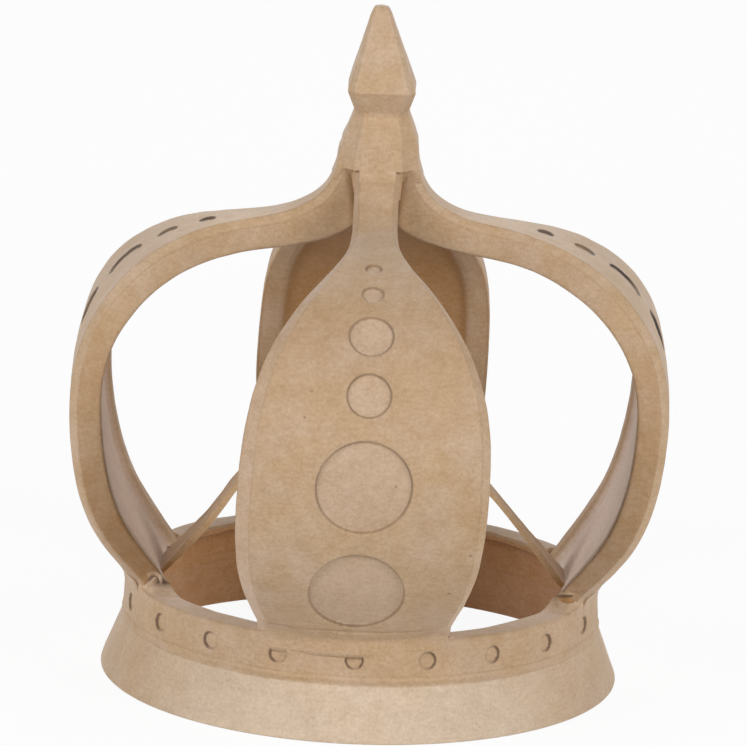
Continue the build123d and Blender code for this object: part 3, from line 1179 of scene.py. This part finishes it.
strap_paper = kraft_paper("kraft_strap_paper", [(KRAFT_WARM_LIGHT, strap_painted_light), (KRAFT_SHADE, strap_end_shade)])
strap_points, strap_places = strap_surface(220)
grid_piece("strap", strap_points, strap_places, strap_paper, node="head_strap")

# Finial: a chamfered collar over the crossing of the four necks, with a blunt spear on it, moulded in
# one and wrapped in paper, so that every arris is soft. It leans a little to one side.

finial_base = millimetres("finial")[0][2]

# Levels of the finial: height above the collar's base, width, and chamfer of the corners
finial_levels = np.array(
    [
        (0.0, 32.5, 7.0),
        (9.8, 29.8, 6.6),
        (19.6, 22.6, 4.6),
        (21.8, 20.8, 3.4),
        (30.4, 26.8, 2.9),
        (31.4, 26.5, 2.9),
        (60.0, 8.2, 1.0),
        (63.6, 4.6, 0.7),
    ]
)

# How far its middle stands to the right at heights above the collar's base
finial_lean = np.array([(0.0, 0.0), (14.0, 0.7), (24.0, 0.6), (40.0, 0.0), (63.6, -1.1)])
finial_softness = 0.32
arris_sharpness = 70.0
tip_round = 1.2


def finial_surface(rows, columns):
    """Chamfered squares stacked up the levels. A square is where the largest of |x|, |y| and the corner's
    |x| + |y|, each over its own limit, is 1; a high power mean stands for the largest and rounds the arrises.
    The levels' straight runs are averaged over a short height, which rounds the rings between them."""
    height = np.linspace(0.0, finial_levels[-1, 0], rows)
    window = np.linspace(-2.0, 2.0, 17)
    weight = np.exp(-0.5 * window**2)
    weight /= weight.sum()
    sampled = height[:, None] + finial_softness * window
    half = (np.interp(sampled, finial_levels[:, 0], finial_levels[:, 1] / 2) * weight).sum(axis=1)
    corner = (np.interp(sampled, finial_levels[:, 0], finial_levels[:, 2]) * weight).sum(axis=1)
    tip = finial_levels[-1, 0] - height
    to_tip = np.clip(tip / tip_round, 0.0, 1.0)
    half = half * np.sqrt(to_tip * (2.0 - to_tip))
    turn = np.linspace(0.0, 2.0 * np.pi, columns, endpoint=False)
    beside = np.abs(np.cos(turn))
    before = np.abs(np.sin(turn))
    half = np.maximum(half, 0.05)[:, None]
    diagonal = 2.0 * half - np.minimum(corner[:, None], half)
    power = arris_sharpness
    mean = (beside / half) ** power + (before / half) ** power + ((beside + before) / diagonal) ** power
    radius = mean ** (-1.0 / power)
    lean = np.interp(height, finial_lean[:, 0], finial_lean[:, 1])
    across = radius * np.cos(turn) + lean[:, None]
    ahead = radius * np.sin(turn)
    points = vectors_of(across, ahead, finial_base + height[:, None])
    lumps = unevenness(points, 16.0, 0.10, seed=71) + unevenness(points, 5.0, 0.03, seed=72)
    lumps *= smooth_step(height / 2.0)[:, None] * smooth_step(tip / 3.0)[:, None]
    points = raised(points, lumps)
    from_side = np.minimum(np.abs(half - radius * beside), np.abs(half - radius * before))
    from_arris = np.abs(from_side - np.abs(diagonal - radius * (beside + before)))
    return points, vectors_of(from_arris, height[:, None], half)


def finial_arris_highlights(finish):
    """Painted highlight along the arrises between the finial's facets, paler than the facets."""
    from_arris, height, half = finish.place()
    patchy = finish.patches(9.0, 1.8, 0.6, seed=16.0)
    return from_arris.ramp(0.6, 0.1) * patchy * 0.2


def finial_ring_shade(finish):
    """Painted shade: thin lines at the waist and under the spear's widest ring, and a darker flare between
    them, which faces down.
    """
    from_arris, height, half = finish.place()
    waist = height.line(21.2, 0.2, 0.9) * 0.22
    ring = height.line(30.2, 0.1, 0.6) * 0.12
    flare = height.ramp(21.0, 22.6) * height.ramp(31.0, 29.8) * 0.16
    return (waist + ring + flare).clamped()


finial_paper = kraft_paper("kraft_finial_paper", [(KRAFT_PALE_HIGHLIGHT, finial_arris_highlights), (KRAFT_SEAM_AND_SHADE, finial_ring_shade)])
finial_points, finial_places = finial_surface(230, 208)
grid_piece("spear_and_collar", finial_points, finial_places, finial_paper, node="finial")

# Crossing gussets: paper pressed into the four corners between the necks, under the collar. Each is a
# sloping facet that carries the collar's chamfer down to where the necks meet.

gusset_length = 13.0
gusset_inset = 4.0
gusset_fall = 3.9
gusset_cover = 3.0
collar_half = finial_levels[0, 1] / 2
collar_diagonal = 2.0 * collar_half - finial_levels[0, 2]
gusset_sharpness = 24.0


def gusset_surface(rows, columns):
    """One core with four diagonal facets: at each height the outline is where |x| + |y| reaches a limit,
    cut off at the necks' faces. The limit shrinks from the collar's chamfer downwards."""
    share = np.linspace(0.0, 1.0, rows)[:, None]
    above = finial_base - gusset_length * (1.0 - share)
    limit = collar_diagonal - gusset_inset - gusset_fall * (1.0 - share)
    turn = np.linspace(0.0, 2.0 * np.pi, columns, endpoint=False)
    beside = np.abs(np.cos(turn))
    before = np.abs(np.sin(turn))
    neck = collar_half - gusset_cover
    power = gusset_sharpness
    mean = ((beside + before) / limit) ** power + (beside / neck) ** power + (before / neck) ** power
    radius = mean ** (-1.0 / power)
    points = vectors_of(radius * np.cos(turn), radius * np.sin(turn), above)
    lumps = unevenness(points, 9.0, 0.25, seed=75) * smooth_step((1.0 - share) * 6.0)
    return raised(points, lumps)


gusset_paper = kraft_paper("kraft_gusset_paper")
gusset_points = gusset_surface(36, 160)
grid_piece("crossing_gussets", gusset_points, gusset_points, gusset_paper)

# Neck shoulders: paper built up over the left and right necks where they run in under the collar, so that
# their tops pass into the collar's sides without a seam.

shoulder_drop = 5.0
shoulder_rise = 8.5
shoulder_half = 11.7
shoulder_taper = 0.55
shoulder_foot_taper = 1.2
shoulder_cover = 0.2
shoulder_sharpness = 16.0


def shoulder_surface(rows, columns):
    """One core, as wide as the collar and narrowing upwards: at each height a rounded box, where a power
    mean of |x| and |y|, each over its own limit, is 1."""
    rise = np.linspace(-shoulder_drop, shoulder_rise, rows)[:, None]
    line = face_line(rows=400)[1]
    neck = np.interp(finial_base + rise, rim_height + line[:, 1], line[:, 0])
    collar = np.interp(rise, finial_levels[:, 0], finial_levels[:, 1] / 2)
    reach = np.where(rise < 0.0, neck, collar) + shoulder_cover - 0.5 * smooth_step((rise - 6.0) / 2.5)
    half = shoulder_half * (1.0 - shoulder_taper * smooth_step(rise / shoulder_rise))
    half = half - shoulder_foot_taper * smooth_step(-rise / shoulder_drop)
    turn = np.linspace(0.0, 2.0 * np.pi, columns, endpoint=False)
    power = shoulder_sharpness
    mean = np.abs(np.cos(turn) / reach) ** power + np.abs(np.sin(turn) / half) ** power
    radius = mean ** (-1.0 / power)
    across = radius * np.cos(turn)
    ahead = radius * np.sin(turn)
    points = vectors_of(across, ahead, finial_base + rise)
    lumps = unevenness(points, 7.0, 0.08, seed=76)
    return raised(points, lumps)


shoulder_points = shoulder_surface(60, 200)
grid_piece("neck_shoulders", shoulder_points, shoulder_points, gusset_paper)

# Collar strips: a strip of paper pasted over the joint in front and behind, from the collar's face down on
# to the neck, so that the two run into one another and only the strip's lower edge shows.

collar_strip_drop = 4.5
collar_strip_rise = 9.0
collar_strip_half = 7.2
collar_strip_lift = 0.1
collar_strip_bury = 0.6
collar_strip_columns = 40


def collar_strip_surface(seed):
    """A strip facing +X: its rows go up the neck's face line and on up the collar's flat."""
    neck_top = face_line()[0][-1]
    line = face_line(distance=np.linspace(neck_top - collar_strip_drop, neck_top, 16))[1]
    rise = np.linspace(0.0, collar_strip_rise, 18)[1:]
    collar = np.interp(rise, finial_levels[:, 0], finial_levels[:, 1] / 2)
    ahead = np.concatenate([line[:, 0], collar])[:, None]
    above = np.concatenate([rim_height + line[:, 1], finial_base + rise])[:, None]
    across = np.linspace(-collar_strip_half, collar_strip_half, collar_strip_columns)[None, :]
    middle = vectors_of(ahead, across, above)
    lift = collar_strip_lift + unevenness(middle, 7.0, 0.05, seed)
    lift = lift * edge_fade(collar_strip_columns, 2.0) * edge_fade(len(ahead), 3.0)[:, None]
    from_end = collar_strip_half - np.abs(across) + 1.0
    from_top = above[-1] - above + 1.0
    from_bottom = above - above[0] + 0.3
    spots = vectors_of(from_end, from_top, from_bottom)
    return pasted_sheet(middle, lift, collar_strip_bury, spots)


for side, bearing in (("front", -90.0), ("back", 90.0)):
    points, places = collar_strip_surface(int(bearing) + 200)
    grid_piece(f"{side}_collar_strip", turned_to(points, bearing), places, strip_paper)

# Stage: a wide pale floor that keeps a faint shadow, three soft lamps and a weak sky at a plain level, and
# the camera where the photograph was taken from.

# The camera's focus is in pixels of the photograph, which is this many pixels wide
image_side = 746.0
camera_focus = 7769.6
camera_distance = 3090.0
camera_elevation = np.radians(14.8)
camera_roll = np.radians(2.31)
camera_target = np.array([1.31, 0.0, 122.4])
sensor_width = 36.0

floor_reach = 14.0
floor_level = -0.0001
floor_signs = [(-1, -1), (1, -1), (1, 1), (-1, 1)]
floor_corners = [(across * floor_reach, ahead * floor_reach, floor_level) for across, ahead in floor_signs]
floor_mesh = bpy.data.meshes.new("floor")
floor_mesh.from_pydata(floor_corners, [], [(0, 1, 2, 3)])
floor = bpy.data.objects.new("floor", floor_mesh)
bpy.context.scene.collection.objects.link(floor)

FLOOR_WHITE = (0.86, 0.86, 0.86, 1.0)
PLAIN_WHITE = (1.0, 1.0, 1.0, 1.0)


def seen_directly(shade):
    """1 for what the camera, a reflection or a pane shows, 0 for the light that falls on the object."""
    camera_ray = shade.node("ShaderNodeLightPath", {}, {})
    outputs = camera_ray.socket.node.outputs
    rays = [Shade(shade.tree, outputs[f"Is {kind} Ray"]) for kind in ("Camera", "Glossy", "Transmission")]
    return rays[0].larger(rays[1]).larger(rays[2])


floor_glow = 0.93
floor_paint = bpy.data.materials.new("floor_paint")
floor_paint.use_nodes = True
floor_paint.node_tree.nodes.clear()
stage_shade = Shade(floor_paint.node_tree)
matt = stage_shade.node("ShaderNodeBsdfDiffuse", {}, {"Color": FLOOR_WHITE})
glow = stage_shade.node("ShaderNodeEmission", {}, {"Color": PLAIN_WHITE, "Strength": 1.0})
glow_share = seen_directly(stage_shade) * floor_glow
floor_mix = stage_shade.node("ShaderNodeMixShader", {}, {0: glow_share, 1: matt, 2: glow})
stage_shade.node("ShaderNodeOutputMaterial", {}, {0: floor_mix})
floor_mesh.materials.append(floor_paint)

world = bpy.data.worlds.new("studio")
world.use_nodes = True
world.node_tree.nodes.clear()
studio = Shade(world.node_tree)
ambient = 0.05
brightness = seen_directly(studio) * (1.0 - ambient) + ambient
sky = studio.node("ShaderNodeBackground", {}, {"Color": PLAIN_WHITE, "Strength": brightness})
studio.node("ShaderNodeOutputWorld", {}, {0: sky})
bpy.context.scene.world = world


def soft_lamp(name, place, aim, size, power):
    """A square white soft box at a place, facing an aim, both in metres."""
    light = bpy.data.lights.new(name, "AREA")
    light.shape = "SQUARE"
    light.size = size
    light.energy = power
    lamp = bpy.data.objects.new(name, light)
    lamp.location = place
    lamp.rotation_euler = (Vector(aim) - Vector(place)).to_track_quat("-Z", "Y").to_euler()
    bpy.context.scene.collection.objects.link(lamp)


lamp_aim = (0.0, 0.0, 0.12)
soft_lamp("left_lamp", (-1.2, -0.9, 0.9), lamp_aim, 0.9, 18.0)
soft_lamp("right_lamp", (1.2, -0.9, 0.9), lamp_aim, 0.9, 18.5)
soft_lamp("back_lamp", (0.0, 1.3, 1.1), lamp_aim, 1.0, 10.0)

right = np.array([1.0, 0.0, 0.0])
upward = np.array([0.0, np.sin(camera_elevation), np.cos(camera_elevation)])
backward = np.array([0.0, -np.cos(camera_elevation), np.sin(camera_elevation)])
rolled_right = np.cos(camera_roll) * right + np.sin(camera_roll) * upward
rolled_up = np.cos(camera_roll) * upward - np.sin(camera_roll) * right
camera_place = (camera_target + camera_distance * backward) / METRE
lens = bpy.data.cameras.new("camera")
lens.sensor_width = sensor_width
lens.lens = camera_focus * sensor_width / image_side
lens.clip_end = 50.0
camera = bpy.data.objects.new("camera", lens)
camera_axes = np.stack([rolled_right, rolled_up, backward, camera_place], axis=-1)
camera.matrix_world = Matrix(camera_axes.tolist() + [[0.0, 0.0, 0.0, 1.0]])
bpy.context.scene.collection.objects.link(camera)
bpy.context.scene.camera = camera
bpy.context.scene.view_settings.view_transform = "Standard"
